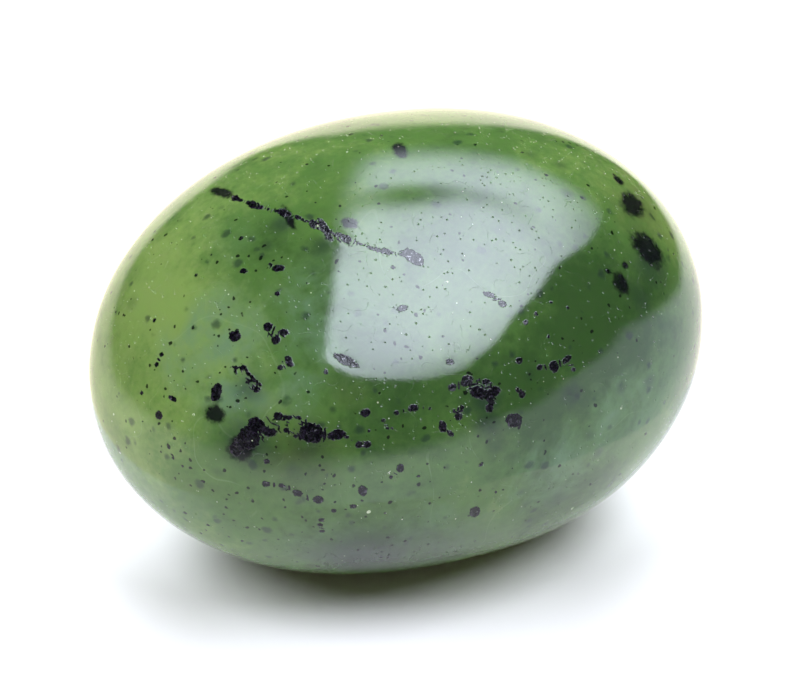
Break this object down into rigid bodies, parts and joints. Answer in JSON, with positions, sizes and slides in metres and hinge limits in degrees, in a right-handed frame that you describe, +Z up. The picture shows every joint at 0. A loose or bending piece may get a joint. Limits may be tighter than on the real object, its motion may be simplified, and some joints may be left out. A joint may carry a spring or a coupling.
{
  "type": "tumbled jade pebble",
  "caption": "Egg-shaped polished green jade pebble with black mineral flecks, lying on a small worn flat.",
  "frame": {"origin": "centre of the stone's footprint box, on the surface it rests on", "axes": "+X along the stone's length, +Y across it, +Z up from the worn flat it rests on"},
  "size_m": [0.031, 0.0234, 0.0211],
  "materials": {
    "jade": "polished, slightly translucent mottled green with black flecks"
  },
  "bodies": {
    "root": {"jade_pebble": "jade"}
  },
  "joints": []
}
